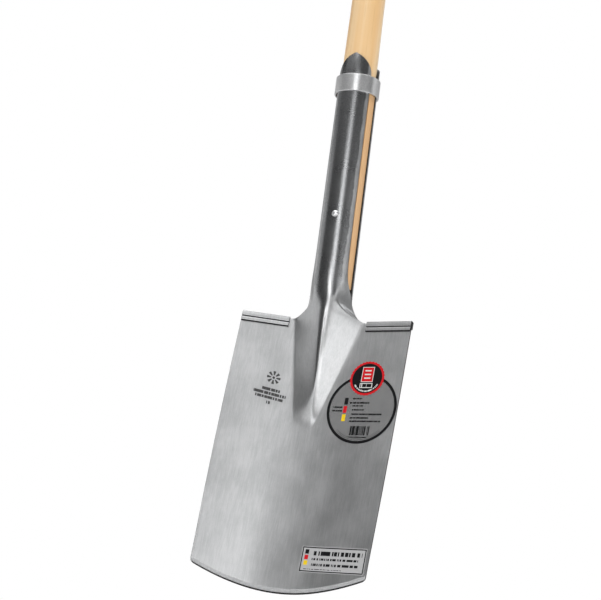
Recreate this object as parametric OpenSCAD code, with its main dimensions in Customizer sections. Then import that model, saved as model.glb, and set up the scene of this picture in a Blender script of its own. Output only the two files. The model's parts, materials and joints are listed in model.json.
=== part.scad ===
// Garden spade: a forged blade with two straps, an ash shaft and a T-grip.
// Worked out about the shaft's axis, with z = 0 at the top of the blade's plate,
// then moved so that the origin is the middle of the cutting edge.

/* [Blade] */
// Width of the blade across its treads
blade_top_w = 179.5; // [150:0.5:220]
// Width of the blade between the corners of the cutting edge
blade_bottom_w = 176.8; // [150:0.1:220]
// Length of the blade's sides, from the treads to the corners
blade_side_l = 266.4; // [220:0.1:330]
// How far the cutting edge bellies out below the corners
belly = 18.4; // [5:0.1:35]
// How far each side swells between its ends
side_bow = 1; // [0:0.1:4]
// Thickness of the plate
plate_t = 2.2; // [1.6:0.1:3.5]
// Angle of each wing, forward of flat
wing_angle = 10.8; // [4:0.1:18]
// Width of the bend between the wings
bend_w = 76; // [40:1:80]
// Angle that the blade leans forward of the shaft
lean_angle = 12.2; // [0:0.1:20]
// Distance from the shaft's axis back to the face of the plate
plate_set_back = 5.6; // [2:0.1:8]
// Height of the bevel along the cutting edge
bevel_h = 5; // [2:0.5:10]
// How deep the bevel cuts into the plate's face
bevel_cut = 1.1; // [0.4:0.1:1.2]
// Height of the chamfer below the bevel
chamfer_h = 1.3; // [0.5:0.1:1.8]
// Thickness left at the cutting edge
edge_t = 0.3; // [0.2:0.1:0.4]
// Radius of the blade's two lower corners
corner_r = 3; // [0.5:0.5:8]

/* [Ridge] */
// Length of the ridge down the blade's face
ridge_l = 110; // [70:1:180]
// Width of the ridge's foot left of the crest, at the treads
ridge_left_w = 35; // [25:0.1:38]
// Width of the ridge's foot right of the crest, at the treads
ridge_right_w = 35.9; // [25:0.1:38]
// How far the crest stands right of the middle
crest_aside = 2.5; // [0:0.1:4]
// How far the crest stands forward of the front strap
crest_proud = 1; // [0:0.1:4]

/* [Neck and straps] */
// Height of the solid neck, from the treads to the foot of the socket
neck_h = 26; // [18:0.5:40]
// Height of the curves that flare from the neck out to the treads
flare_h = 28; // [20:0.5:42]
// Bore between the two straps
socket_d = 36.4; // [30:0.1:42]
// Thickness of the straps at the foot of the socket
strap_foot_t = 3.7; // [2.4:0.1:6]
// Thickness of the straps under the collar
strap_top_t = 3.1; // [2:0.1:5]
// Thickness of the straps at their points
strap_tip_t = 1.6; // [1:0.1:2]
// Half of the angle that the front strap covers
front_strap_half = 54; // [40:1:75]
// Height at which the straps begin to narrow to their points
strap_shoulder_z = 259; // [200:1:320]
// Length of the straps' points
strap_point_l = 23.5; // [15:0.5:40]
// Length of the rear strap's tongue down the back of the blade
tongue_l = 84; // [50:1:130]
// Width of the tongue at the treads
tongue_w = 48; // [40:1:70]
// Thickness of the tongue where it ends
tongue_end_t = 2; // [1:0.1:4]

/* [Collar and rivet] */
// Height of the collar's lower edge
collar_z = 240; // [190:1:240]
// Height of the collar
collar_h = 18.8; // [12:0.1:25]
// Thickness of the collar
collar_t = 2; // [1.2:0.1:4]
// Height of the rivet
rivet_z = 108; // [60:1:180]
// Diameter of the rivet's shank
rivet_d = 5; // [3:0.1:8]
// Diameter of the rivet's heads
rivet_head_d = 7; // [6:0.1:12]
// Height of the rivet's heads
rivet_head_h = 1.6; // [1:0.1:3]

/* [Treads] */
// Distance between the inner ends of the two treads
tread_gap = 82; // [80:1:100]
// Height of a tread's front leg below the plate's top edge
tread_front_h = 9.3; // [7:0.1:14]
// Height of a tread's back leg below the plate's top edge
tread_back_h = 6.5; // [4:0.1:14]
// Thickness of the treads' strip
tread_t = 1.7; // [1:0.1:3]
// Depth of the groove along a tread's front leg
tread_groove = 0.7; // [0:0.1:0.8]

/* [Shaft] */
// Length of the shaft, from its foot in the socket to the top of its tenon
shaft_l = 850; // [600:1:1000]
// Diameter of the shaft between the collar and the grip
shaft_d = 35; // [30:0.1:35.5]
// Length over which the shaft thins above the straps
shaft_taper_l = 55; // [20:1:120]
// How far the shaft's cheeks stand up between the straps
cheek_h = 2; // [1:0.1:2.4]

/* [Grip] */
// Length of the grip bar
grip_l = 126; // [100:1:160]
// Diameter of the bar's boss, where the shaft goes in
grip_boss_d = 40; // [38:0.5:50]
// Diameter of the bar's waists
grip_waist_d = 29; // [24:0.5:34]
// Diameter of the bar near its ends
grip_end_d = 33; // [26:0.5:38]
// Diameter of the shaft's tenon
tenon_d = 22; // [16:0.5:24]
// Diameter of the pin through the bar and the tenon
grip_pin_d = 5; // [3:0.1:6]
// Thickness of the wedge at its head
wedge_t = 2.6; // [1.5:0.1:4]
// Depth of the wedge, which stops short of the pin
wedge_h = 14; // [8:0.5:16]

/* [Labels] */
// Diameter of the round label
info_label_d = 73.8; // [50:0.1:74]
// Distance of the round label's centre from the middle of the blade
info_label_x = 52.4; // [48:0.1:52.6]
// Distance of the round label's centre below the treads
info_label_w = 92.8; // [80:0.1:140]
// Diameter of the seal
seal_d = 37; // [20:0.1:38]
// Number of lobes round the seal
seal_lobes = 32; // [12:1:60]
// Distance of the seal's centre below the treads
seal_w = 60.3; // [40:0.1:70]
// Width of the foot label
foot_label_w = 67.5; // [40:0.1:68]
// Height of the foot label
foot_label_h = 26; // [15:0.1:26]
// Distance of the foot label's inner end from the middle of the blade
foot_label_x = 18; // [10:0.1:18]
// Distance of the foot label's top edge below the treads
foot_label_top = 235.7; // [150:0.1:236]
// Thickness of the labels' film
film_t = 0.15; // [0.1:0.01:0.3]

/* [Fits] */
// Gap between the shaft and the straps, all round
socket_fit = 0.15; // [0.05:0.01:0.3]
// Gap between the collar and the straps
collar_fit = 0.15; // [0.05:0.01:0.3]
// Gap between pieces that are welded face to face
weld_fit = 0.1; // [0.05:0.01:0.2]
// Gap round pins, rivets and the tenon
pin_fit = 0.05; // [0.02:0.01:0.15]
// Gap between a cheek and the edge of a strap
cheek_fit = 0.5; // [0.2:0.1:1.5]
// Gap between a label and the blade
film_fit = 0.03; // [0.02:0.01:0.08]

/* [Hidden] */
$fn = 64;

SIDES = [-1, 1];
steel = [0.66, 0.67, 0.68];
forged = [0.34, 0.35, 0.36];
zinc = [0.78, 0.79, 0.80];
ash = [0.88, 0.72, 0.48];

// ---- the plate: two flat wings joined by a bend, leaning forward ----
bend_half = bend_w / 2;
bend_r = bend_half / sin(wing_angle);
wing_start = bend_r * (1 - cos(wing_angle));
blade_l = blade_side_l + belly;
shoulder_half = tread_gap / 2;
socket_r = socket_d / 2;

// Rise of the plate's face towards the front, at x from the middle
function plate_rise(x) =
    abs(x) < bend_half
        ? bend_r - sqrt(bend_r * bend_r - x * x)
        : wing_start + (abs(x) - bend_half) * tan(wing_angle);

// Point of the blade at x across, w down from the treads and n forward of the flat
function blade_point(x, w, n) = [
    x,
    plate_set_back - w * sin(lean_angle) - n * cos(lean_angle),
    -w * cos(lean_angle) + n * sin(lean_angle)
];

// Half-width of the plate, w below the treads, with its lower corners rounded
function side_half(w) =
    let (
        t = min(w / blade_side_l, 1),
        corner = max(0, 1 - (blade_l - w) / corner_r)
    )
    (blade_top_w + (blade_bottom_w - blade_top_w) * t) / 2
        + side_bow * 4 * t * (1 - t)
        - corner_r * (1 - sqrt(1 - corner * corner));

// Depth of the cutting edge below the treads, at x from the middle
function edge_w(x) = blade_side_l + belly * (1 - pow(2 * x / blade_bottom_w, 2));

tip = blade_point(0, blade_l, -plate_t);

// ---- small maths ----
function mix(a, b, t) = a + (b - a) * t;
function clamp01(t) = max(0, min(1, t));
function smooth(t) = let (c = clamp01(t)) c * c * (3 - 2 * c);

// The larger and the smaller of two values, with the change between them rounded off
function soft_max(a, b, soft) = (a + b + sqrt(pow(a - b, 2) + soft)) / 2;
function soft_min(a, b, soft) = (a + b - sqrt(pow(a - b, 2) + soft)) / 2;

// ---- the straps: half-tubes that end in points ----
function strap_t(z) = mix(strap_foot_t, strap_top_t, clamp01((z - neck_h) / (collar_z - neck_h)));

// Outer radius of the straps at height z
function strap_r(z) =
    let (point = clamp01((z - strap_shoulder_z) / strap_point_l))
    socket_r + mix(strap_t(z), strap_tip_t, point * point);

// How much of its full width a strap keeps at height z: a pointed arch, blunt at its tip
strap_least = 0.05;
function strap_keep(z) =
    let (h = clamp01((z - strap_shoulder_z) / strap_point_l))
    max(strap_least, 2 * sqrt(1 - 0.75 * h * h) - 1);

// Where the straps meet at the foot of the socket, each covers this half-angle
meet_half = 87;
// The front strap's edges curve in from there to their full gap over this height
gap_curve = 10;

function front_half(z) =
    let (open = exp(-max(0, z - neck_h) / gap_curve))
    mix(front_strap_half, meet_half, open) * strap_keep(z);

function rear_half(z) = 90 * strap_keep(z);

// Point on a round strap: angle a from the front (side = -1) or the back (side = 1)
function strap_point(a, r, z, side) = [r * sin(a), side * r * cos(a), z];

// ---- the ridge and the neck ----
foot_r = strap_r(neck_h);
crest_rise = (plate_set_back + foot_r + crest_proud) / cos(lean_angle);

// The crest bows forward a little, and fades out where it ends
crest_bow = 0.18;
crest_fade = 0.0016;
function ridge_height(w) =
    let (t = w / ridge_l)
    crest_rise * soft_max((1 - t) * (1 + crest_bow * max(-0.5, min(1, t))), 0, crest_fade);

// How far right of the middle the crest stands: it turns back near its end, and starts
// from the middle of the strap
crest_back_at = 98;
crest_back_over = 45;
flat_top = 46;
flat_full = 14;
function crest_x(w) =
    crest_aside
        * smooth((crest_back_at - w) / crest_back_over)
        * smooth((flat_top + w) / (flat_top - flat_full));

// Width that each side of the ridge's foot loses in each millimetre down; the right side
// keeps its width above the treads
foot_loss_left = 0.155;
foot_loss_right = 0.294;
foot_turn = 9;
foot_least = 4;
function ridge_half(aside, w) =
    let (below = soft_max(w, 0, foot_turn * foot_turn) - foot_turn / 2)
    max(
        foot_least,
        aside < 0 ? ridge_left_w - foot_loss_left * w : ridge_right_w - foot_loss_right * below
    );

// Distance aside from the crest, eased to round it off. The round of the strap runs on
// down each side of the crest and fades out, and grows again on the left where it ends.
left_round = 7.8;
left_round_fades = 0.08;
left_round_least = 1.5;
right_round = 10.5;
right_round_fades = 0.16;
right_round_least = 2.5;
end_round = 10;
end_from = 74;
end_over = 30;
function round_left(w) =
    max(left_round_least, min(left_round, left_round - left_round_fades * w))
        + end_round * smooth((w - end_from) / end_over);
function round_right(w) = max(right_round_least, min(right_round, right_round - right_round_fades * w));
function rounded(aside, w) =
    let (soft = aside < 0 ? round_left(w) : round_right(w))
    sqrt(aside * aside + soft * soft) - soft;

// Rise of the blade's face with its ridge
foot_soft = 0.002;
function face_rise(x, w) =
    let (
        aside = x - crest_x(w),
        side = aside < 0 ? -1 : 1,
        half = side * ridge_half(aside, w) - crest_x(w),
        flank = 1 - rounded(aside, w) / rounded(half, w)
    )
    plate_rise(x) + ridge_height(w) * soft_max(flank, 0, foot_soft);

// Half-width of the neck at height r above the treads: a quarter of an ellipse
function neck_half(r) =
    let (d = (flare_h - min(r, flare_h)) / flare_h)
    shoulder_half - (shoulder_half - foot_r) * sqrt(max(0, 1 - d * d));

// How far the neck has turned from a round bar into the blade: 0 at the socket, 1 at the treads
function turned(r) = smooth((neck_h - r) / neck_h);

// The foot of the front strap is drawn to two flats that meet at the crest, and outside
// them to two steeper facets
flat_angle = 33;
side_angle = 60;
facet_soft = 1.44;
web_front = foot_r * cos(meet_half);

// How far the bar stands forward of the shaft's axis, x across, r above the treads
function bar_front(x, r) =
    let (
        bar_r = strap_r(r),
        round_bar = sqrt(max(bar_r * bar_r - x * x, 0)),
        flat = bar_r - rounded(x - crest_x(-r), -r) * tan(flat_angle),
        facet = web_front + (neck_half(r) - abs(x)) * tan(side_angle)
    )
    mix(
        round_bar,
        soft_min(flat, facet, facet_soft),
        smooth((flat_top - r) / (flat_top - flat_full))
    );

// Rise of the neck's face: facets take it down from the ridge to the neck's edges
web_angle = 68;
web_grows = 8;
function neck_rise(x, r) =
    plate_rise(x)
        + soft_min(
            face_rise(x, -r) - plate_rise(x),
            (neck_half(r) - abs(x)) * tan(web_angle),
            facet_soft * pow(smooth(r / web_grows), 2)
        );

// Face of the neck, t across from -1 to 1, r above the treads
function neck_face(t, r) =
    let (
        s = turned(r),
        x = neck_half(r) * mix(sin(meet_half * t), t, s) + crest_x(-r) * (1 - abs(t))
    )
    mix([x, -bar_front(x, r), r], blade_point(x, -r, neck_rise(x, r)), s);

// Face of the front strap, t across from -1 to 1, z above the treads
function strap_face(t, z) =
    let (
        a = front_half(z) * t,
        x = strap_r(z) * sin(a) + crest_x(-z) * (1 - abs(t))
    )
    z < flat_top ? [x, -bar_front(x, z), z] : strap_point(a, strap_r(z), z, -1);

// Parting face between the neck's front and rear halves, x across
function neck_back(x, r, gap) =
    mix([x, gap, r], blade_point(x, -r, plate_rise(x) - plate_t - gap), turned(r));

// ---- a skin of cells between two grids of points ----
// front and back are grids of points, rows from the top down, columns from left to right.
// Only the cells from first[row] to last[row] are kept; the skin is walled at its edges.
function halves(a, b, c, d, flip) = flip ? [[a, b, c], [a, c, d]] : [[a, b, d], [b, c, d]];

module skin(front, back, first, last) {
    rows = len(front);
    cols = len(front[0]);
    function f(i, j) = i * cols + j;
    function b(i, j) = rows * cols + i * cols + j;
    function kept(i, j) = i >= 0 && i < rows - 1 && j >= first[i] && j <= last[i];
    cells = [for (i = [0 : rows - 2]) for (j = [first[i] : last[i]]) [i, j]];
    faces = [
        for (c = cells)
            let (
                i = c[0],
                j = c[1],
                flip = j < cols / 2 - 0.5
            )
            each concat(
                halves(f(i, j), f(i, j + 1), f(i + 1, j + 1), f(i + 1, j), flip),
                halves(b(i, j + 1), b(i, j), b(i + 1, j), b(i + 1, j + 1), !flip),
                kept(i - 1, j) ? [] : halves(b(i, j), b(i, j + 1), f(i, j + 1), f(i, j), true),
                kept(i + 1, j)
                    ? []
                    : halves(f(i + 1, j), f(i + 1, j + 1), b(i + 1, j + 1), b(i + 1, j), true),
                kept(i, j + 1)
                    ? []
                    : halves(f(i, j + 1), b(i, j + 1), b(i + 1, j + 1), f(i + 1, j + 1), true),
                kept(i, j - 1) ? [] : halves(b(i, j), f(i, j), f(i + 1, j), b(i + 1, j), true)
            )
    ];
    polyhedron(points = concat([for (r = front) each r], [for (r = back) each r]), faces = faces);
}

// ---- rows of the forgings ----
// Heights of the strap's rows, from its point down to the foot of the socket
POINT_STEPS = [1, 0.96, 0.88, 0.76, 0.6, 0.4, 0.2, 0];
point_rows = [for (h = POINT_STEPS) strap_shoulder_z + strap_point_l * h];
SOCKET_STEPS = [40, 28, 20, 14, 9, 5, 2, 0];
socket_rows = concat([collar_z], [for (h = SOCKET_STEPS) neck_h + h]);
strap_rows = concat(point_rows, socket_rows);
// Heights of the neck's rows, down to the treads
neck_steps = 10;
neck_rows = [for (i = [0 : neck_steps]) neck_h * (1 - i / neck_steps)];
// Depths of the blade's rows: close together along the ridge, far apart below it
ridge_steps = 17;
plain_steps = 5;
ridge_run = 1.15;
ridge_end = ridge_l * ridge_run;
blade_rows = concat(
    [for (i = [1 : ridge_steps]) ridge_end * i / ridge_steps],
    [for (i = [1 : plain_steps]) mix(ridge_end, blade_l - bevel_h, i / plain_steps)],
    [blade_l - chamfer_h, blade_l]
);

// Columns: the middle ones run the whole height, the outer ones only along the wings
mid_cols = 24;
wing_cols = 3;
all_cols = mid_cols + 2 * wing_cols;
// Place of a column: -1 to 1 across the neck, and beyond that out to the side at -2 or 2
function column(j) =
    let (k = j - all_cols / 2)
    abs(k) <= mid_cols / 2
        ? 2 * k / mid_cols
        : sign(k) * (1 + (abs(k) - mid_cols / 2) / wing_cols);
columns = [for (j = [0 : all_cols]) column(j)];

// x of a column, w below the treads; the rows bend to follow the cutting edge
function blade_x(t, w) =
    abs(t) <= 1
        ? t * shoulder_half + crest_x(w) * (1 - abs(t))
        : sign(t) * mix(shoulder_half, side_half(w), abs(t) - 1);
function blade_w(x, w) = w * edge_w(x) / blade_l;

// How deep the bevel and the chamfer cut, w below the treads
function edge_cut(w) =
    let (up = blade_l - w)
    up < chamfer_h
        ? mix(plate_t - edge_t, bevel_cut, up / chamfer_h)
        : bevel_cut * clamp01((bevel_h - up) / (bevel_h - chamfer_h));

function blade_face(t, w) =
    let (x = blade_x(t, w), below = blade_w(x, w))
    blade_point(x, below, face_rise(x, below) - edge_cut(w));

function blade_back(t, w) =
    let (x = blade_x(t, w))
    blade_point(x, blade_w(x, w), plate_rise(x) - plate_t);

function inside(t) = max(-1, min(1, t));

blade_front = concat(
    [for (z = strap_rows) [for (t = columns) strap_face(inside(t), z)]],
    [for (r = neck_rows) [for (t = columns)
        abs(t) <= 1 || r > 0 ? neck_face(inside(t), r) : blade_face(t, 0)]],
    [for (w = blade_rows) [for (t = columns) blade_face(t, w)]]
);
blade_rear = concat(
    [for (z = strap_rows) [for (t = columns) strap_point(front_half(z) * inside(t), socket_r, z, -1)]],
    [for (r = neck_rows) [for (t = columns)
        abs(t) <= 1 || r > 0 ? neck_back(neck_face(inside(t), r)[0], r, 0) : blade_back(t, 0)]],
    [for (w = blade_rows) [for (t = columns) blade_back(t, w)]]
);
wing_row = len(strap_rows) + len(neck_rows) - 1;

// The rivet's hole through the straps and the shaft
module rivet_hole() {
    translate([0, 0, rivet_z])
    rotate([90, 0, 0])
    cylinder(d = rivet_d + 2 * pin_fit, h = 4 * socket_d, center = true);
}

module blade() {
    color(steel)
    difference() {
        skin(
            blade_front,
            blade_rear,
            [for (i = [0 : len(blade_front) - 2]) i < wing_row ? wing_cols : 0],
            [for (i = [0 : len(blade_front) - 2]) all_cols - 1 - (i < wing_row ? wing_cols : 0)]
        );
        rivet_hole();
    }
}

// ---- rear strap: a half-tube whose tongue is welded down the back of the blade ----
rear_cols = 22;
rear_columns = [for (j = [0 : rear_cols]) 2 * j / rear_cols - 1];
tongue_steps = 10;
tongue_rows = [for (i = [1 : tongue_steps]) tongue_l * i / tongue_steps];
tongue_edge_t = foot_r * cos(meet_half);

// Half-width of the tongue, w below the treads: a rounded end, a little blunt
tongue_least = 0.02;
function tongue_half(w) = tongue_w / 2 * sqrt(max(tongue_least, 1 - pow(w / tongue_l, 2)));
function tongue_height(w) =
    let (full = foot_r - plate_set_back - plate_t)
    mix(full, tongue_end_t, smooth(w / tongue_l)) - tongue_edge_t;

function tongue_in(t, w) =
    let (x = t * tongue_half(w))
    blade_point(x, w, plate_rise(x) - plate_t - weld_fit);
function tongue_out(t, w) =
    let (x = t * tongue_half(w))
    blade_point(
        x, w,
        plate_rise(x) - plate_t - weld_fit - tongue_edge_t - tongue_height(w) * sqrt(1 - t * t)
    );

function rear_neck_x(t, r) =
    mix(foot_r, tongue_w / 2, turned(r)) * mix(sin(meet_half * t), t, turned(r));
function rear_neck_in(t, r) = neck_back(rear_neck_x(t, r), r, weld_fit);
function rear_neck_out(t, r) =
    let (x = rear_neck_x(t, r), s = turned(r))
    mix(
        [x, foot_r * cos(meet_half * t) + weld_fit, r],
        blade_point(
            x, -r,
            plate_rise(x) - plate_t - weld_fit - tongue_edge_t - tongue_height(0) * sqrt(1 - t * t)
        ),
        s
    );

module rear_strap() {
    inner = concat(
        [for (z = strap_rows) [for (t = rear_columns) strap_point(rear_half(z) * t, socket_r, z, 1)]],
        [for (r = neck_rows) [for (t = rear_columns) rear_neck_in(t, r)]],
        [for (w = tongue_rows) [for (t = rear_columns) tongue_in(t, w)]]
    );
    outer = concat(
        [for (z = strap_rows) [for (t = rear_columns) strap_point(rear_half(z) * t, strap_r(z), z, 1)]],
        [for (r = neck_rows) [for (t = rear_columns) rear_neck_out(t, r)]],
        [for (w = tongue_rows) [for (t = rear_columns) tongue_out(t, w)]]
    );
    color(forged)
    difference() {
        skin(
            inner,
            outer,
            [for (i = [0 : len(inner) - 2]) 0],
            [for (i = [0 : len(inner) - 2]) rear_cols - 1]
        );
        rivet_hole();
    }
}

// ---- collar: a plain ring driven down over both straps ----
collar_in = strap_r(collar_z) + collar_fit;
collar_out = collar_in + collar_t;
collar_round = 0.6;

module collar() {
    color(zinc)
    rotate_extrude()
    polygon([
        [collar_in, collar_z],
        [collar_out - collar_round, collar_z],
        [collar_out, collar_z + collar_round],
        [collar_out, collar_z + collar_h - collar_round],
        [collar_out - collar_round, collar_z + collar_h],
        [collar_in, collar_z + collar_h]
    ]);
}

// ---- rivet: a shank through both straps, with a dome at each end ----
rivet_reach = strap_r(rivet_z);
DOME_STEPS = 6;
dome_r = (pow(rivet_head_d / 2, 2) + pow(rivet_head_h, 2)) / (2 * rivet_head_h);
dome_a = asin(rivet_head_d / 2 / dome_r);

module socket_rivet() {
    dome = [
        for (i = [0 : DOME_STEPS])
            let (a = dome_a * (1 - i / DOME_STEPS))
            [dome_r * sin(a), rivet_reach + rivet_head_h - dome_r * (1 - cos(a))]
    ];
    color(zinc)
    translate([0, 0, rivet_z])
    rotate([90, 0, 0])
    rotate_extrude()
    polygon(concat(
        [[0, -rivet_reach - rivet_head_h]],
        [for (i = [DOME_STEPS - 1 : -1 : 0]) [dome[i][0], -dome[i][1]]],
        [[rivet_d / 2, -rivet_reach], [rivet_d / 2, rivet_reach]],
        dome
    ));
}

// ---- treads: strips folded over the plate's top edge and welded ----
wing_l = (blade_top_w / 2 - bend_half) / cos(wing_angle);
tread_from = (shoulder_half - bend_half) / cos(wing_angle);
tread_round = 1.1;
tread_lip = 0.8;
// Place of the groove, as a share of the front leg, and where the round edges are eased
groove_share = 0.46;
ease = 0.3;

// Section of a tread: x back from the plate's face, y up from the plate's top edge
module tread_section() {
    face = -weld_fit - tread_t;
    rear = plate_t + weld_fit + tread_t;
    top = weld_fit + tread_t;
    groove = -groove_share * tread_front_h;
    polygon([
        [-weld_fit, weld_fit],
        [-weld_fit, -tread_front_h],
        [face + tread_lip, -tread_front_h],
        [face, -tread_front_h + tread_lip],
        [face, groove - tread_lip],
        [face + tread_groove, groove],
        [face, groove + tread_lip],
        [face, top - tread_round],
        [face + ease * tread_round, top - ease * tread_round],
        [face + tread_round, top],
        [rear - tread_round, top],
        [rear - ease * tread_round, top - ease * tread_round],
        [rear, top - tread_round],
        [rear, -tread_back_h],
        [plate_t + weld_fit, -tread_back_h],
        [plate_t + weld_fit, weld_fit]
    ]);
}

// Places children in a wing's own frame: x out along the wing, y back, z up
module on_wing(side) {
    mirror([side < 0 ? 1 : 0, 0, 0])
    translate([0, plate_set_back, 0])
    rotate([-lean_angle, 0, 0])
    translate([bend_half, -wing_start, 0])
    rotate([0, 0, -wing_angle])
    children();
}

module tread(side) {
    color(steel)
    on_wing(side)
    translate([tread_from, 0, 0])
    rotate([90, 0, 90])
    linear_extrude(wing_l - tread_from)
    tread_section();
}

module tread_left() {
    tread(-1);
}

module tread_right() {
    tread(1);
}

// ---- shaft: ash, let in between the straps, with a tenon at its top ----
shaft_foot = neck_h + 1;
shaft_top = shaft_foot + shaft_l;
shaft_r = shaft_d / 2;
foot_wood_r = socket_r - socket_fit;
taper_z = strap_shoulder_z + strap_point_l;
foot_chamfer = 1.5;

// The bar's middle height, the shoulder that the shaft's end butts against, and the tenon
boss_r = grip_boss_d / 2;
tenon_below = 1;
grip_z = shaft_top - boss_r + tenon_below;
seat_share = 0.55;
grip_seat_z = grip_z - seat_share * boss_r;
seat_r = 15.5;
seat_room = 1.5;
seat_taper_l = 30;
tenon_r = tenon_d / 2;

// One cheek of wood in the gap beside the front strap
cheek_r = foot_wood_r + cheek_h;
CHEEK_STEPS = 12;
cheek_foot_gap = 8;
cheek_top_gap = 2;
cheek_foot = neck_h + cheek_foot_gap;
cheek_top = collar_z + collar_h - cheek_top_gap;

module cheek(side) {
    edge = [
        for (i = [0 : CHEEK_STEPS])
            let (z = mix(cheek_foot, cheek_top, pow(i / CHEEK_STEPS, 2)))
            [-socket_r * cos(front_half(z)) + cheek_fit, z]
    ];
    intersection() {
        translate([0, 0, cheek_foot])
        cylinder(r = cheek_r, h = cheek_top - cheek_foot);
        rotate([90, 0, 90])
        translate([0, 0, side < 0 ? -2 * cheek_r : 0])
        linear_extrude(2 * cheek_r)
        polygon(concat(edge, [[-socket_fit, cheek_top], [-socket_fit, cheek_foot]]));
    }
}

module shaft() {
    color(ash)
    difference() {
        union() {
            rotate_extrude()
            polygon([
                [0, shaft_foot],
                [foot_wood_r - foot_chamfer, shaft_foot],
                [foot_wood_r, shaft_foot + foot_chamfer],
                [foot_wood_r, taper_z],
                [shaft_r, taper_z + shaft_taper_l],
                [shaft_r, grip_seat_z - seat_taper_l],
                [seat_r, grip_seat_z - pin_fit],
                [tenon_r, grip_seat_z - pin_fit],
                [tenon_r, shaft_top],
                [0, shaft_top]
            ]);
            for (side = SIDES) cheek(side);
        }
        rivet_hole();
        grip_pin_hole();
        kerf();
    }
}

// ---- grip bar: a turned bar across the top of the shaft ----
module grip_pin_hole() {
    translate([0, 0, grip_z])
    rotate([90, 0, 0])
    cylinder(d = grip_pin_d + 2 * pin_fit, h = 2 * grip_boss_d, center = true);
}

// Where the bar's waists are thinnest, and how much of the boss is straight
waist_gap = 6;
boss_share = 0.35;

module grip_bar() {
    half = grip_l / 2;
    end_round = grip_end_d / 4;
    waist_x = boss_r + waist_gap;
    boss_flat = boss_share * boss_r;
    END_STEPS = 8;
    WAIST_STEPS = 12;
    // From the boss out to an end: down to the waist, up to the swell, then round the end
    outline = concat(
        [[0, boss_r], [boss_flat, boss_r]],
        [
            for (i = [1 : WAIST_STEPS])
                let (t = i / WAIST_STEPS)
                [mix(boss_flat, waist_x, t), mix(boss_r, grip_waist_d / 2, smooth(t))]
        ],
        [
            for (i = [1 : WAIST_STEPS - 1])
                let (t = i / WAIST_STEPS)
                [mix(waist_x, half - end_round, t), mix(grip_waist_d, grip_end_d, smooth(t)) / 2]
        ],
        [
            for (i = [0 : END_STEPS])
                let (a = 90 * i / END_STEPS)
                [half - end_round * (1 - sin(a)), grip_end_d / 2 - end_round * (1 - cos(a))]
        ],
        [[half, 0]]
    );
    left = [for (i = [len(outline) - 1 : -1 : 1]) [-outline[i][0], outline[i][1]]];
    color(ash)
    difference() {
        translate([0, 0, grip_z])
        rotate([0, 90, 0])
        rotate_extrude()
        polygon([for (p = concat(left, outline)) [p[1], p[0]]]);
        translate([0, 0, grip_z - 2 * boss_r])
        cylinder(r = tenon_r + pin_fit, h = 4 * boss_r);
        translate([0, 0, grip_z - 2 * boss_r])
        cylinder(r = seat_r + seat_room, h = grip_seat_z - grip_z + 2 * boss_r);
        grip_pin_hole();
    }
}

// ---- wedge: spreads the tenon in the bar ----
wedge_tip_t = 0.6;

module wedge_section(gap) {
    polygon([
        [-wedge_tip_t / 2 - gap, shaft_top - wedge_h - gap],
        [wedge_tip_t / 2 + gap, shaft_top - wedge_h - gap],
        [wedge_t / 2 + gap, shaft_top + gap],
        [-wedge_t / 2 - gap, shaft_top + gap]
    ]);
}

// Set along the bar, so that the wedge doesn't split it, and short of the pin
module kerf() {
    rotate([90, 0, 0])
    linear_extrude(2 * tenon_d, center = true)
    wedge_section(pin_fit);
}

module grip_wedge() {
    color([0.62, 0.44, 0.26])
    intersection() {
        rotate([90, 0, 0])
        linear_extrude(2 * tenon_d, center = true)
        wedge_section(0);
        translate([0, 0, shaft_top - 2 * wedge_h])
        cylinder(r = tenon_r, h = 3 * wedge_h);
    }
}

// ---- pin: a steel pin through the bar and the tenon, a little short of the boss ----
pin_short = 1;

module grip_pin() {
    color(zinc)
    translate([0, 0, grip_z])
    rotate([90, 0, 0])
    cylinder(d = grip_pin_d, h = grip_boss_d - pin_short, center = true);
}

// ---- labels: films that follow the plate's bend ----
FILM_STEPS = 10;
film_edge = 1;
punch_l = 60;
lobe_h = 0.6;

// A strip of film from x_from to x_to, between two heights off the plate's face
module film_strip(x_from, x_to, low, high) {
    xs = concat(
        [for (i = [0 : FILM_STEPS]) mix(x_from, bend_half, i / FILM_STEPS)],
        [x_to]
    );
    polygon(concat(
        [for (x = xs) [x, -plate_rise(x) - low]],
        [for (i = [len(xs) - 1 : -1 : 0]) [xs[i], -plate_rise(xs[i]) - high]]
    ));
}

// Places children in the blade's frame: x across, y back, z up
module on_blade() {
    translate([0, plate_set_back, 0])
    rotate([-lean_angle, 0, 0])
    children();
}

module film(x_from, x_to, low, bottom_w, height) {
    translate([0, 0, -bottom_w])
    linear_extrude(height)
    film_strip(x_from, x_to, low, low + film_t);
}

module info_label() {
    r = info_label_d / 2;
    color([0.75, 0.76, 0.77])
    on_blade()
    intersection() {
        film(
            info_label_x - r - film_edge, info_label_x + r + film_edge,
            film_fit, info_label_w + r + film_edge, 2 * (r + film_edge)
        );
        translate([info_label_x, 0, -info_label_w])
        rotate([90, 0, 0])
        cylinder(r = r, h = punch_l, center = true);
    }
}

module seal_label() {
    r = seal_d / 2;
    LOBE_STEPS = 6;
    low = 2 * film_fit + film_t;
    points = seal_lobes * LOBE_STEPS;
    color([0.78, 0.10, 0.13])
    on_blade()
    intersection() {
        film(
            info_label_x - r - film_edge, info_label_x + r + film_edge,
            low, seal_w + r + film_edge, 2 * (r + film_edge)
        );
        translate([info_label_x, 0, -seal_w])
        rotate([90, 0, 0])
        linear_extrude(punch_l, center = true)
        polygon([
            for (i = [0 : points - 1])
                let (a = 360 * i / points, d = r - lobe_h * (1 - cos(seal_lobes * a)) / 2)
                [d * cos(a), d * sin(a)]
        ]);
    }
}

module foot_label() {
    color([0.80, 0.80, 0.79])
    on_blade()
    film(
        foot_label_x, foot_label_x + foot_label_w,
        film_fit, foot_label_top + foot_label_h, foot_label_h
    );
}

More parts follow.
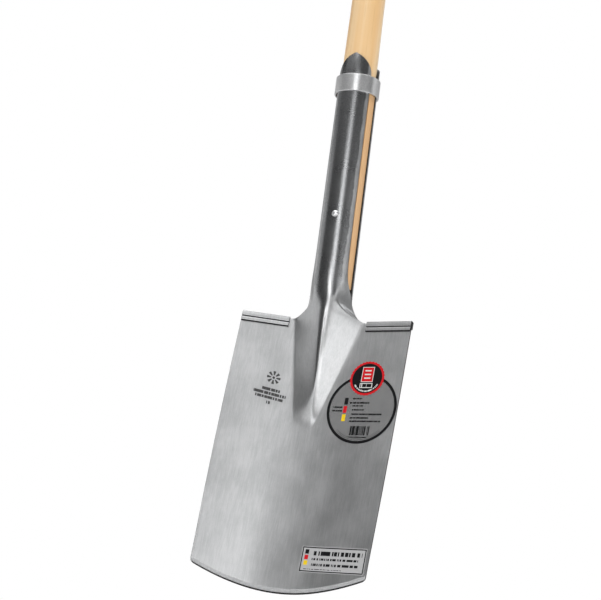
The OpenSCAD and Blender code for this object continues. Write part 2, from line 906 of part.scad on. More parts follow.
// ---- the whole spade, with its origin at the middle of the cutting edge ----
module at_origin() {
    translate(-tip)
    children();
}

at_origin() blade();
at_origin() rear_strap();
at_origin() collar();
at_origin() socket_rivet();
at_origin() tread_left();
at_origin() tread_right();
at_origin() shaft();
at_origin() grip_bar();
at_origin() grip_wedge();
at_origin() grip_pin();
at_origin() info_label();
at_origin() seal_label();
at_origin() foot_label();
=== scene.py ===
"""A garden spade: a forged blade with two straps, an ash shaft, a T-grip and film labels."""

import json
import math

import bmesh
import bpy
import numpy as np
from mathutils import Matrix, Vector


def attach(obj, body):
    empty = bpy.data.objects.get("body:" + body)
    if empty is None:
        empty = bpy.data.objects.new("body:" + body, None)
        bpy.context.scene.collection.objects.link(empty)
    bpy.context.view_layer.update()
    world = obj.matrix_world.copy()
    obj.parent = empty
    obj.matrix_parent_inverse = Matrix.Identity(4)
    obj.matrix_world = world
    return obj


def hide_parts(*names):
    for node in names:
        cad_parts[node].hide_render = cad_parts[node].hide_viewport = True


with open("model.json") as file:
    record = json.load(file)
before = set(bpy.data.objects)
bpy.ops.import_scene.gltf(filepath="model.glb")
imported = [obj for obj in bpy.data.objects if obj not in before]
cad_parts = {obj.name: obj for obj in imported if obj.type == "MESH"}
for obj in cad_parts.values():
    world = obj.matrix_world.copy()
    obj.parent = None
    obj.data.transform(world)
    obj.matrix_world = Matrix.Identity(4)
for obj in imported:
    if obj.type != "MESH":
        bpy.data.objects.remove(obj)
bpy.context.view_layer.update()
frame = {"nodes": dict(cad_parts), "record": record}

# ======================================================================================
# Blade. One forging holds the plate, the ridge down its face, the solid neck and the
# front strap. The plate is ground lengthwise until it is bright, and the strap keeps a
# darker skin from the forge. Its cutting edge is ground, and its other edges are sheared.
# The record's mounts say where the shaft's axis is and how far the blade leans
mounts = {mount["name"]: mount for mount in frame["record"]["mounts"]}
shaft_y = mounts["shaft_clip_seat"]["pos_m"][1]
lean = math.asin(mounts["tread_step_right"]["axis"][1])

blade_top_w = 0.1795
blade_bottom_w = 0.1768
blade_side_l = 0.2664
belly = 0.0184
side_bow = 0.001
plate_t = 0.0022
plate_set_back = 0.0056
bend_half = 0.038
wing_angle = math.radians(10.8)
corner_r = 0.003
tread_gap = 0.082
# The cutting edge: how deep the face is ground away at these heights above it
edge_heights = [0, 0.0013, 0.0050]
edge_cuts = [0.0019, 0.0011, 0]
# These lowest rows of the front are painted dark with the cut faces: painted shade under the
# cutting edge
shaded_edge_rows = 3

blade_l = blade_side_l + belly
shoulder_half = tread_gap / 2
bend_r = bend_half / math.sin(wing_angle)
wing_start = bend_r * (1 - math.cos(wing_angle))
# Height of the plate's top edge above the ground, and the middle of its face there
top_z = blade_l * math.cos(lean) + plate_t * math.sin(lean)
face_top = Vector((0, shaft_y + plate_set_back, top_z))


def mix(a, b, t):
    return a + (b - a) * t


def smooth(t):
    t = np.clip(t, 0, 1)
    return t * t * (3 - 2 * t)


def plate_rise(x):
    """Rise of the plate's face: two flat wings joined by a round bend."""
    x = np.abs(x)
    bend = bend_r - np.sqrt(np.maximum(bend_r**2 - x**2, 0))
    return np.where(x < bend_half, bend, wing_start + (x - bend_half) * math.tan(wing_angle))


def points_at(x, y, z):
    """Points from arrays of their coordinates, or from a number where all share it."""
    return np.stack(np.broadcast_arrays(x, y, z), axis=-1)


def blade_point(x, w, n):
    """Point of the blade x across, w down from the treads and n forward of its face."""
    y = face_top.y - w * math.sin(lean) - n * math.cos(lean)
    z = face_top.z - w * math.cos(lean) + n * math.sin(lean)
    return points_at(x, y, z)


def side_half(w):
    """Half of the plate's width, w below the treads."""
    t = min(w / blade_side_l, 1)
    half = mix(blade_top_w, blade_bottom_w, t) / 2 + side_bow * 4 * t * (1 - t)
    corner = max(0, 1 - (blade_l - w) / corner_r)
    return half - corner_r * (1 - math.sqrt(1 - corner**2))


def edge_w(x):
    """Depth of the cutting edge below the treads."""
    return blade_side_l + belly * (1 - (2 * x / blade_bottom_w) ** 2)


# The straps: half-tubes that end in points, with the shaft between them
neck_h = 0.026
flare_h = 0.028
socket_r = 0.0182
strap_foot_t = 0.0037
strap_top_t = 0.0031
strap_tip_t = 0.0016
collar_z = 0.240
shoulder_z = 0.259
point_l = 0.0235
# The front strap covers this much to each side; at the neck the straps nearly meet, and
# the gap between them opens over this height
front_half_angle = math.radians(54)
meet_half = math.radians(87)
gap_curve = 0.010
# A point keeps at least this share of the strap's width
least_keep = 0.05


def strap_r(z):
    """Outer radius of the straps at height z above the treads."""
    wall = mix(strap_foot_t, strap_top_t, np.clip((z - neck_h) / (collar_z - neck_h), 0, 1))
    point = np.clip((z - shoulder_z) / point_l, 0, 1)
    return socket_r + mix(wall, strap_tip_t, point**2)


def strap_keep(z):
    """Share of its width that a strap keeps at height z: a pointed arch."""
    h = np.clip((z - shoulder_z) / point_l, 0, 1)
    return np.maximum(least_keep, 2 * np.sqrt(1 - 0.75 * h**2) - 1)


def front_half(z):
    """Half of the angle that the front strap covers: it opens just above the neck."""
    opening = np.exp(-np.maximum(0, z - neck_h) / gap_curve)
    return mix(front_half_angle, meet_half, opening) * strap_keep(z)


def around_shaft(angle, r, z, side):
    """Point at an angle from the front (side -1) or the back (side 1) of the shaft's axis."""
    return points_at(r * np.sin(angle), shaft_y + side * r * np.cos(angle), top_z + z)


# The ridge runs on from the strap's front down to a point; its foot is wider on the left
ridge_l = 0.110
crest_proud = 0.001
# The crest stands a little right of the middle, until it turns back near its end
crest_aside, crest_back_at, crest_back_over = 0.0025, 0.098, 0.045
# The round of the strap runs on down each side of the crest, and fades out:
# how round it starts, how fast it fades and the least that it comes to
left_round, left_round_fades, left_round_least = 0.0078, 0.08, 0.0015
right_round, right_round_fades, right_round_least = 0.0105, 0.16, 0.0025
foot_r = float(strap_r(neck_h))
crest_rise = (plate_set_back + foot_r + crest_proud) / math.cos(lean)
# The crest runs down to the plate in a slight bow, and its lower end is softened
crest_bow, crest_fade = 0.18, 0.0016
# How far the foot is from the crest at the treads, and what it loses per metre down
ridge_half_left, ridge_narrows_left = 0.0350, 0.155
ridge_half_right, ridge_narrows_right = 0.0372, 0.294
# Above the treads the right foot stops widening, over this depth
right_foot_turn = 0.009
ridge_least_half = 0.004
# The crease along the foot is softened a little
foot_soft = 0.002
# Near its end the ridge rounds off further on its left
end_round, end_from, end_over = 0.010, 0.074, 0.030
# A narrow rib stands along the crest
rib_h = 0.0004
rib_half = 0.0012
rib_from, rib_to = -0.012, 0.088
rib_grows_over, rib_fades_over = 0.02, 0.03


def crest_x(w):
    """How far right of the middle the crest stands."""
    above_neck = smooth((flat_top + w) / (flat_top - flat_full))
    return crest_aside * smooth((crest_back_at - w) / crest_back_over) * above_neck


def ridge_height(w):
    """How far the crest stands above the wings."""
    left = (1 - w / ridge_l) * (1 + crest_bow * np.clip(w / ridge_l, -0.5, 1))
    return crest_rise * (left + np.sqrt(left**2 + crest_fade)) / 2


def ridge_half(x, w):
    """How far the ridge's foot is from its crest, on the side that x is on."""
    half = np.where(
        x < 0,
        ridge_half_left - ridge_narrows_left * w,
        ridge_half_right - ridge_narrows_right * (w + np.sqrt(w**2 + right_foot_turn**2)) / 2,
    )
    return np.maximum(half, ridge_least_half)


def rounded(x, w):
    """Distance aside from the crest, eased to round it off."""
    left = np.clip(left_round - left_round_fades * w, left_round_least, left_round)
    left = left + end_round * smooth((w - end_from) / end_over)
    right = np.clip(right_round - right_round_fades * w, right_round_least, right_round)
    soft = np.where(x < 0, left, right)
    return np.sqrt(x**2 + soft**2) - soft


def rib(x, w):
    """Rise of the rib at x aside from the crest."""
    fade = smooth((w - rib_from) / rib_grows_over) * smooth((rib_to - w) / rib_fades_over)
    return rib_h * fade * np.exp(-((x / rib_half) ** 2))


def face_rise(x, w):
    """Rise of the blade's face, with its ridge."""
    aside = x - crest_x(w)
    half = np.copysign(ridge_half(aside, w), aside) - crest_x(w)
    flank = 1 - rounded(aside, w) / rounded(half, w)
    flank = (flank + np.sqrt(flank**2 + foot_soft)) / 2
    return plate_rise(x) + ridge_height(w) * flank + rib(aside, w)


def neck_half(r):
    """Half of the neck's width at height r above the treads: a quarter of an ellipse."""
    down = (flare_h - min(r, flare_h)) / flare_h
    return shoulder_half - (shoulder_half - foot_r) * math.sqrt(max(0, 1 - down * down))


def turned(r):
    """How far the neck has turned from a round bar into the blade."""
    return smooth((neck_h - r) / neck_h)


# The foot of the front strap is drawn to two flats that meet at the crest
flat_top = 0.046
flat_full = 0.014
flat_angle = math.radians(33)
# Outside the flats, steeper facets run down to the neck's edges
side_angle = math.radians(60)
web_angle = math.radians(68)
web_soft_over = 0.008
facet_soft = 0.0012
web_front = foot_r * math.cos(meet_half)


def lesser(a, b, soft):
    """The smaller of two values, with the change between them rounded off."""
    return (a + b - np.sqrt((a - b) ** 2 + soft**2)) / 2


def bar_front(x, r):
    """How far the bar stands forward of the shaft's axis at x, height r above the treads."""
    bar_r = strap_r(r)
    round_bar = np.sqrt(np.maximum(bar_r**2 - x**2, 0))
    flat = bar_r - rounded(x - crest_x(-r), -r) * math.tan(flat_angle)
    facet = web_front + (neck_half(r) - np.abs(x)) * math.tan(side_angle)
    drawn_out = smooth((flat_top - r) / (flat_top - flat_full))
    return mix(round_bar, lesser(flat, facet, facet_soft), drawn_out)


def neck_rise(x, r):
    """Rise of the neck's face beside the crest: facets take it down to the neck's edges."""
    facet = (neck_half(r) - np.abs(x)) * math.tan(web_angle)
    ridge = face_rise(x, -r) - plate_rise(x)
    return plate_rise(x) + lesser(ridge, facet, facet_soft * smooth(r / web_soft_over))


def neck_face(t, r):
    """A row of the neck's front, t from -1 to 1 across it."""
    s = turned(r)
    x = neck_half(r) * mix(np.sin(meet_half * t), t, s) + crest_x(-r) * (1 - np.abs(t))
    bar = points_at(x, shaft_y - bar_front(x, r), top_z + r)
    return mix(bar, blade_point(x, -r, neck_rise(x, r)), s)


def neck_back(x, r, gap):
    """The face along which the front and rear forgings meet in the neck."""
    bar = points_at(x, shaft_y + gap, top_z + r)
    return mix(bar, blade_point(x, -r, plate_rise(x) - plate_t - gap), turned(r))


def skin(name, front, back, first, last, shaded_from=1e9):
    """A closed mesh between two grids of points; each row keeps the cells first to last.

    Its edges are marked as cut, to be painted dark as sheared steel, and so is its front from the
    row that the last argument gives on, as painted shade.
    """
    rows, cols = front.shape[:2]
    points = np.concatenate([front.reshape(-1, 3), back.reshape(-1, 3)])

    def kept(i, j):
        return 0 <= i < rows - 1 and first[i] <= j <= last[i]

    faces, cut = [], []
    for i in range(rows - 1):
        for j in range(first[i], last[i] + 1):
            a, b = i * cols + j, i * cols + j + 1
            c, d = b + cols, a + cols
            a2, b2, c2, d2 = (k + rows * cols for k in (a, b, c, d))
            faces += [(d, c, b, a), (a2, b2, c2, d2)]
            cut += [i >= shaded_from, False]
            if not kept(i - 1, j):
                faces.append((a, b, b2, a2))
            if not kept(i + 1, j):
                faces.append((c, d, d2, c2))
            if not kept(i, j + 1):
                faces.append((b, c, c2, b2))
            if not kept(i, j - 1):
                faces.append((d, a, a2, d2))
            cut += [True] * (len(faces) - len(cut))
    return solid(name, points, faces, cut)


def solid(name, points, faces, cut=None):
    """An object from points and faces, smooth-shaded, with its cut faces marked."""
    mesh = bpy.data.meshes.new(name)
    mesh.from_pydata([tuple(p) for p in points], [], faces)
    marks = mesh.attributes.new("cut", "FLOAT", "FACE")
    marks.data.foreach_set("value", [float(c) for c in (cut or [False] * len(faces))])
    work = bmesh.new()
    work.from_mesh(mesh)
    bmesh.ops.delete(work, geom=[v for v in work.verts if not v.link_faces], context="VERTS")
    bmesh.ops.recalc_face_normals(work, faces=work.faces)
    for face in work.faces:
        face.smooth = True
    work.to_mesh(mesh)
    work.free()
    piece = bpy.data.objects.new(name, mesh)
    bpy.context.scene.collection.objects.link(piece)
    return piece


# Edges shorter than this are dissolved after rounding
least_edge = 2e-6
# The round edge of a face marked cut, sheared or painted shade, is this share as dark
round_darkness = 0.7


def round_edges(piece, width, least_angle=50, spare=lambda point: False):
    """Rounds a piece's sharp edges, apart from those at points that spare names."""
    work = bmesh.new()
    work.from_mesh(piece.data)
    sharp = [
        edge for edge in work.edges
        if edge.is_manifold
        and edge.calc_face_angle() > math.radians(least_angle)
        and not any(spare(v.co) for v in edge.verts)
    ]
    rounds = bmesh.ops.bevel(
        work, geom=sharp, offset=width, offset_type="OFFSET", segments=2, profile=0.5,
        affect="EDGES", clamp_overlap=False,
    )["faces"]
    cut = work.faces.layers.float["cut"]
    # The round faces take a share of the dark of the cut faces beside them, painted shade
    # included
    darkest = [
        max(near[cut] for edge in face.edges for near in edge.link_faces) for face in rounds
    ]
    for face, dark in zip(rounds, darkest):
        face[cut] = dark * round_darkness
    bmesh.ops.dissolve_degenerate(work, dist=least_edge, edges=work.edges)
    for face in work.faces:
        face.smooth = True
    work.to_mesh(piece.data)
    work.free()
    weighted = piece.modifiers.new("flat faces stay flat", "WEIGHTED_NORMAL")
    weighted.weight = 80
    weighted.keep_sharp = True


def stretch(start, end, count):
    """Even steps from start to end, with start itself left out."""
    return list(np.linspace(start, end, count)[1:])


# Rows from the strap's point down to the cutting edge, closest together in the neck and at
# the bevel
close_from, close_to = 0.075, 0.070
past_ridge = 1.2 * ridge_l
above_bevel = blade_l - 1.2 * edge_heights[-1]
bevel_heights = (0.0050, 0.0046, 0.0030, 0.0020, 0.0013, 0.0009, 0.0004, 0)
point_rows = [shoulder_z + point_l * h for h in np.sin(np.linspace(math.pi / 2, 0, 16))]
socket_rows = stretch(shoulder_z, close_from, 12) + list(np.linspace(close_to, neck_h, 20))
strap_rows = point_rows + socket_rows
neck_rows = [neck_h] + stretch(neck_h, 0, 30)
blade_rows = (
    stretch(0, past_ridge, 70)
    + stretch(past_ridge, above_bevel, 26)
    + [blade_l - h for h in bevel_heights]
)

# Columns as shares of the ridge's half width: close together at the crest and at the foot.
# Beyond -1 and 1 come the wings
crest_share, foot_share = 0.10, 0.72
crest_crowding = 1.6
wing_cols = 12
half_columns = np.concatenate([
    crest_share * np.array(stretch(0, 1, 15)) ** crest_crowding,
    stretch(crest_share, foot_share, 22),
    stretch(foot_share, 1, 17),
    stretch(1, 2, wing_cols + 1),
])
columns = np.concatenate([-half_columns[::-1], [0], half_columns])


def blade_grids(w):
    """Rows of points on the face and the back of the plate, at depth w."""
    aside = np.abs(columns)
    # One column follows each foot of the ridge
    foot = ridge_half(columns, w)
    foot_column = ridge_half(columns, 0) / shoulder_half
    out = (aside - foot_column) / (1 - foot_column)
    x = np.where(aside <= foot_column, foot * aside / foot_column, mix(foot, shoulder_half, out))
    x = np.where(aside <= 1, x, mix(shoulder_half, side_half(w), aside - 1))
    x = np.sign(columns) * x + crest_x(w) * np.maximum(1 - x / foot, 0)
    down = w * edge_w(x) / blade_l
    cut = np.interp(blade_l - w, edge_heights, edge_cuts)
    return (
        blade_point(x, down, face_rise(x, down) - cut),
        blade_point(x, down, plate_rise(x) - plate_t),
    )


t_in = np.clip(columns, -1, 1)
front_rows, back_rows = [], []
for z in strap_rows:
    face = around_shaft(front_half(z) * t_in, strap_r(z), z, -1)
    if z < flat_top:
        face[:, 0] += crest_x(-z) * (1 - np.abs(t_in))
        face[:, 1] = shaft_y - bar_front(face[:, 0], z)
    front_rows.append(face)
    back_rows.append(around_shaft(front_half(z) * t_in, socket_r, z, -1))
for r in neck_rows[1:-1]:
    face = neck_face(t_in, r)
    front_rows.append(face)
    back_rows.append(neck_back(face[:, 0], r, 0))
for w in [0] + blade_rows:
    face, rear = blade_grids(w)
    front_rows.append(face)
    back_rows.append(rear)
# Above the treads the neck leaves out the columns of the wings
wing_row = len(strap_rows) + len(neck_rows) - 2
cell_rows = len(front_rows) - 1
left_out = [wing_cols if i < wing_row else 0 for i in range(cell_rows)]
blade = skin(
    "blade", np.array(front_rows), np.array(back_rows),
    left_out, [len(columns) - 2 - out for out in left_out], shaded_from=cell_rows - shaded_edge_rows,
)

edge_round = 0.0003
# The edges below this height are ground, and stay sharp
ground_h = 0.01


def thin_point(point):
    """The upper half of a strap's point is too thin to be rounded."""
    return point.z > top_z + shoulder_z + 0.5 * point_l


round_edges(blade, edge_round, spare=lambda point: thin_point(point) or point.z < ground_h)


class Shade:
    """One output among the nodes; sums and products of it add Math nodes."""

    def __init__(self, finish, socket):
        self.finish = finish
        self.socket = socket

    def math(self, operation, *others):
        return self.finish.node(
            "ShaderNodeMath", {"operation": operation},
            dict(enumerate((self, *others))),
        )

    def __add__(self, other):
        return self.math("ADD", other)

    __radd__ = __add__

    def __mul__(self, other):
        return self.math("MULTIPLY", other)

    __rmul__ = __mul__

    def __sub__(self, other):
        return self.math("SUBTRACT", other)

    def __rsub__(self, other):
        return self.finish.number(other).math("SUBTRACT", self)

    def __truediv__(self, other):
        return self.math("DIVIDE", other)

    def __abs__(self):
        return self.math("ABSOLUTE")

    def over(self, low, high):
        """0 below low, 1 above high, and a smooth step between them."""
        return self.finish.node(
            "ShaderNodeMapRange", {"interpolation_type": "SMOOTHSTEP"},
            {"Value": self, "From Min": low, "From Max": high},
        )


class Finish:
    """A material or a world, which starts as one shader and one output node."""

    def __init__(self, name, kind="materials"):
        self.owner = getattr(bpy.data, kind).new(name)
        self.owner.use_nodes = True
        self.tree = self.owner.node_tree
        self.shader = next(node for node in self.tree.nodes if node.outputs)

    def node(self, kind, settings=None, sockets=None, output=0):
        """Adds a node: its settings come first, then the values or links of its sockets."""
        made = self.tree.nodes.new(kind)
        for key, value in (settings or {}).items():
            setattr(made, key, value)
        for key, value in (sockets or {}).items():
            self.join(made.inputs, key, value)
        return Shade(self, self.find(made.outputs, output))

    def find(self, sockets, key):
        """A socket by its number, its identifier or its name."""
        if isinstance(key, int):
            return sockets[key]
        return next((s for s in sockets if s.identifier == key), None) or sockets[key]

    def join(self, sockets, key, value):
        """Links a socket to a Shade, or gives it a value."""
        socket = self.find(sockets, key)
        if isinstance(value, Shade):
            self.tree.links.new(value.socket, socket)
        else:
            socket.default_value = (*value, 1) if socket.type == "RGBA" else value

    def number(self, value):
        made = self.node("ShaderNodeValue")
        made.socket.default_value = value
        return made

    def fill(self, **sockets):
        """Sets sockets of the shader that the finish started with."""
        for key, value in sockets.items():
            self.join(self.shader.inputs, key.replace("_", " "), value)

    def filled(self):
        """The shader that the finish started with."""
        return Shade(self, self.shader.outputs[0])

    def show(self, shader):
        """Links another shader to the output in place of that one."""
        output = next(node for node in self.tree.nodes if not node.outputs)
        self.join(output.inputs, "Surface", shader)

    def place(self):
        """Where a point is, in metres in the spade's own frame."""
        return self.node("ShaderNodeTexCoord", output="Object")

    def stretched(self, place, x, y, z):
        return self.node(
            "ShaderNodeVectorMath", {"operation": "MULTIPLY"}, {0: place, 1: (x, y, z)}
        )

    def noise(self, place, scale, detail, roughness):
        return self.node(
            "ShaderNodeTexNoise", {},
            {"Vector": place, "Scale": scale, "Detail": detail, "Roughness": roughness},
        )

    def blend(self, factor, a, b):
        return self.node(
            "ShaderNodeMix", {"data_type": "RGBA"},
            {"Factor_Float": factor, "A_Color": a, "B_Color": b}, output="Result_Color",
        )

    def bump(self, height, distance):
        return self.node("ShaderNodeBump", {}, {"Height": height, "Distance": distance})

    def on(self, piece):
        piece.data.materials.clear()
        piece.data.materials.append(self.owner)


def on_face(finish):
    """A point's place on the blade: x across, y behind its face, z up from the treads."""
    turn = Matrix.Rotation(lean, 3, "X")
    return finish.node(
        "ShaderNodeMapping", {"vector_type": "POINT"},
        {"Vector": finish.place(), "Rotation": (lean, 0, 0), "Location": -(turn @ face_top)},
    )


def split(finish, place):
    return [finish.node("ShaderNodeSeparateXYZ", {}, {0: place}, output=i) for i in range(3)]


steel_bright, steel_dull = (0.53, 0.535, 0.54), (0.37, 0.375, 0.38)
forge_skin, worn_skin = (0.20, 0.203, 0.208), (0.30, 0.305, 0.31)
# The painted highlight along the crest's right is this bright
crest_highlight_steel = (0.80, 0.805, 0.81)
# The dark of sheared cut faces, also used as painted shade
cut_and_shade_steel = (0.035, 0.034, 0.034)


# How soft the edges of printed and punched marks are, in millimetres
mark_soft = 0.12


def block(u, w, left, right, top, bottom):
    """1 inside a block of the face, in millimetres, with soft edges."""
    inside_u = (abs(u - (left + right) / 2) * -1 + (right - left) / 2).over(0, mark_soft)
    inside_w = (abs(w - (top + bottom) / 2) * -1 + (bottom - top) / 2).over(0, mark_soft)
    return inside_u * inside_w


dash_soft = 0.02


def broken(finish, u, per_mm, seed, least=0.44):
    """A bar broken into dashes of uneven length."""
    bar = finish.node(
        "ShaderNodeTexNoise", {"noise_dimensions": "1D"},
        {"W": u * per_mm + seed, "Scale": 1.0, "Detail": 1.0, "Roughness": 0.4},
    )
    return bar.over(least, least + dash_soft)


# The stamp, in millimetres: its middle, how far it runs askew, and its rosette's size
stamp_x, stamp_w, stamp_askew = -45, 66.5, 0.12
petal_count, petal_edge, petal_from, petal_to, eye_r = 8, (-0.3, 0.1), 2.4, 6.8, 1.2
punch_soft = 0.3
# It is punched in the face only, so it fades out this far behind it, in metres
face_only = (0.0009, 0.0012)
# Each row of dashes: how far below the middle it starts, its height, its left and right end
stamp_rows = (
    (11.6, 3.2, -9.5, 9.0), (16.0, 3.2, -17.5, 16.0), (20.4, 3.0, -15.0, 13.5),
    (25.6, 3.2, -2.6, 1.8),
)


def punched(finish, across, behind, above):
    """A plain rosette over rows of dashes, punched in the left wing a little askew."""
    u = across * 1000 - stamp_x
    w = above * -1000 - u * stamp_askew - stamp_w
    radius = (u * u + w * w).math("SQRT")
    petals = (w.math("ARCTAN2", u) * petal_count).math("COSINE").over(*petal_edge)
    petals = petals * radius.over(petal_from, petal_from + punch_soft)
    petals = petals * (1 - radius.over(petal_to, petal_to + punch_soft))
    marks = petals + (1 - radius.over(eye_r, eye_r + punch_soft))
    for i, (top, height, left, right) in enumerate(stamp_rows):
        row = block(u, w, left, right, top, top + height)
        marks = marks + row * broken(finish, u, 0.8, 5.1 * i, 0.37)
    rise = (abs(across) - bend_half) * math.tan(wing_angle) + wing_start
    in_face = 1 - (behind + rise).over(*face_only)
    return marks.math("MINIMUM", 1.0) * in_face * (1 - across.over(-0.001, 0))


# Each pair below says where a mask starts and where it is full, in metres.
# The forge skin starts above a ragged line that climbs away from the crest
skin_climb, skin_edge, raggedness = 2.2, (-0.006, 0.002), 0.010
# The sides of the strap are ground bare, along a line that wanders
bare_side, bare_above, bare_wander = (0.0138, 0.0150), (0.02, 0.05), 0.006
# The right side of the neck is darkened partway to the skin's colour
thin_inner, thin_outer = (0.009, 0.018), (0.034, 0.040)
thin_low, thin_high, right_neck_darkness = (-0.004, 0.005), (0.016, 0.028), 0.6
# Painted shade: a strip left of the crest gets the skin's dark colour, wider higher up:
# millimetres, and per metre. How soft its left edge is, where its right edge fades, and
# how ragged both are
crest_shade_w, crest_shade_widens = 6.2, 62
crest_shade_left, crest_shade_right, crest_shade_ragged = (-0.4, 0.8), (-1.4, -0.4), 60
crest_shade_low, crest_shade_high, crest_shade_strength = (-0.084, -0.074), (0.0, 0.01), 0.85
# A painted highlight runs along the crest's right: millimetres right of it, and where that fades
# to each side
highlight_at, highlight_half = 1.8, (0.6, 2.4)
highlight_low, highlight_high, highlight_strength = (-0.095, -0.060), (0.03, 0.06), 0.4
# How rough the polish is, how far its clouds change that, how much smoother the skin is
# and how much rougher a cut
polish_rough, cloud_rough, skin_smoother, cut_rougher = 0.39, 0.14, 0.11, 0.10
# How deep the grinding is, and how many times deeper and how dark the stamp is
grind_depth, stamp_depth, stamp_dark = 0.00003, 4, 0.9


def crest_line(above):
    """How far right of the middle the crest stands, in millimetres."""
    turned_back = above.over(-crest_back_at, crest_back_over - crest_back_at)
    return turned_back * (1 - above.over(flat_full, flat_top)) * (crest_aside * 1000)


def skin_and_crest_shade(finish, across, above, aside, ragged):
    """How much of the dark skin from the forge is left, with painted shade left of the crest."""
    skin = (above - abs(across) * skin_climb + ragged).over(*skin_edge)
    wander = finish.noise(finish.stretched(finish.place(), 0, 0, 1), 25, 3.0, 0.6)
    bare = (abs(across) + (wander - 0.5) * bare_wander + ragged * 0.15).over(*bare_side)
    skin = skin * (1 - bare * above.over(*bare_above))
    thin = (across + ragged * 0.5).over(*thin_inner) * (1 - across.over(*thin_outer))
    thin = thin * (above + ragged * 0.5).over(*thin_low) * (1 - above.over(*thin_high))
    # Painted shade left of the crest, given the skin's dark colour
    beside = aside + ragged * crest_shade_ragged
    strip = (beside + above * crest_shade_widens + crest_shade_w).over(*crest_shade_left)
    strip = strip * (1 - beside.over(*crest_shade_right))
    strip = strip * above.over(*crest_shade_low) * (1 - above.over(*crest_shade_high))
    return skin.math("MAXIMUM", thin * right_neck_darkness).math("MAXIMUM", strip * crest_shade_strength)


def painted_crest_highlight(above, aside):
    """How strong the painted highlight along the crest's right is."""
    crest_highlight = 1 - abs(aside - highlight_at).over(*highlight_half)
    return crest_highlight * above.over(*highlight_low) * (1 - above.over(*highlight_high)) * highlight_strength


def steel_finish(name):
    """Steel ground lengthwise to a cloudy polish, with forge skin on it and dark cut faces, some
    of them painted shade, a painted highlight right of the crest and painted shade left of it.
    """
    finish = Finish(name)
    place = on_face(finish)
    across, behind, above = split(finish, place)
    fine = finish.noise(finish.stretched(place, 1.0, 1.0, 0.06), 1100, 3.0, 0.65)
    coarse = finish.noise(finish.stretched(place, 1.0, 1.0, 0.12), 300, 2.0, 0.5)
    cloud = finish.noise(place, 26, 4.0, 0.6)
    grit = finish.noise(place, 1500, 2.0, 0.6)
    speck = finish.noise(finish.place(), 1300, 2.0, 0.7)
    ragged = (finish.noise(finish.place(), 300, 3.0, 0.6) - 0.5) * raggedness
    # How much of the polish each noise makes up
    tone = 0.5
    for noise, share in ((fine, 0.9), (coarse, 0.35), (cloud, 1.1), (grit, 0.5)):
        tone = (noise - 0.5) * share + tone
    colour = finish.blend(tone.over(0.0, 1.0), steel_dull, steel_bright)
    aside = across * 1000 - crest_line(above)
    # Painted highlight: a bright band along the crest's right
    crest_highlight = painted_crest_highlight(above, aside)
    # The skin's mask also carries the painted shade left of the crest
    skin_and_shade_mask = skin_and_crest_shade(finish, across, above, aside, ragged) * (1 - crest_highlight)
    scale = finish.blend(speck.over(0.35, 0.7), forge_skin, worn_skin)
    colour = finish.blend(skin_and_shade_mask, colour, scale)
    colour = finish.blend(crest_highlight, colour, crest_highlight_steel)
    stamp = punched(finish, across, behind, above)
    # Faces marked cut are painted dark: sheared edges, and painted shade under the cutting edge,
    # in the treads' grooves and under their lips. The stamp is darkened with them.
    cut = finish.node("ShaderNodeAttribute", {"attribute_name": "cut"}, output="Fac")
    cut = cut.math("MAXIMUM", stamp * stamp_dark)
    rough = (cloud - 0.5) * cloud_rough + polish_rough
    finish.fill(
        Base_Color=finish.blend(cut, colour, cut_and_shade_steel), Metallic=1.0,
        Roughness=rough - skin_and_shade_mask * skin_smoother + cut * cut_rougher,
        Normal=finish.bump((fine + speck) * 0.5 - stamp * stamp_depth, grind_depth),
    )
    return finish


steel = steel_finish("ground blade steel")
steel.on(blade)
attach(blade, "root")
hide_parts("blade")

# ======================================================================================
# Rear strap: a second forging, welded down the back of the blade, whose half-tube
# closes the socket behind the shaft. Its tongue spreads the load over the plate.
tongue_l = 0.084
tongue_w = 0.048
tongue_end_t = 0.002
weld_gap = 0.0001
tongue_edge_t = foot_r * math.cos(meet_half)
# The tongue's round end keeps this share of its width, squared
tongue_least = 0.02
rear_columns = np.linspace(-1, 1, 61)


def tongue_half(w):
    """Half of the tongue's width, w below the treads."""
    return tongue_w / 2 * math.sqrt(max(tongue_least, 1 - (w / tongue_l) ** 2))


def tongue_thick(t, w):
    """Thickness of the tongue: thick along its middle, thin at its edges and its end."""
    full = foot_r - plate_set_back - plate_t
    middle = mix(full, tongue_end_t, smooth(w / tongue_l))
    return mix(tongue_edge_t, middle, np.sqrt(1 - t * t))


def rear_neck(t, r):
    """A row of the rear strap's inside and outside where it turns into the tongue."""
    s = turned(r)
    x = mix(foot_r, tongue_w / 2, s) * mix(np.sin(meet_half * t), t, s)
    bar = points_at(x, shaft_y + foot_r * np.cos(meet_half * t) + weld_gap, top_z + r)
    back = blade_point(x, -r, plate_rise(x) - plate_t - weld_gap - tongue_thick(t, 0))
    return neck_back(x, r, weld_gap), mix(bar, back, s)


inner_rows, outer_rows = [], []
for z in strap_rows:
    half = math.pi / 2 * strap_keep(z)
    inner_rows.append(around_shaft(half * rear_columns, socket_r, z, 1))
    outer_rows.append(around_shaft(half * rear_columns, strap_r(z), z, 1))
for r in neck_rows[1:]:
    inside, outside = rear_neck(rear_columns, r)
    inner_rows.append(inside)
    outer_rows.append(outside)
for w in tongue_l * np.sin(np.linspace(0, math.pi / 2, 40)[1:]):
    x = rear_columns * tongue_half(w)
    under = plate_rise(x) - plate_t - weld_gap
    inner_rows.append(blade_point(x, w, under))
    outer_rows.append(blade_point(x, w, under - tongue_thick(rear_columns, w)))
cell_rows = len(inner_rows) - 1
rear_strap = skin(
    "rear_strap", np.array(inner_rows), np.array(outer_rows),
    [0] * cell_rows, [len(rear_columns) - 2] * cell_rows,
)
round_edges(rear_strap, edge_round, spare=thin_point)
steel.on(rear_strap)
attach(rear_strap, "root")
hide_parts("rear_strap")

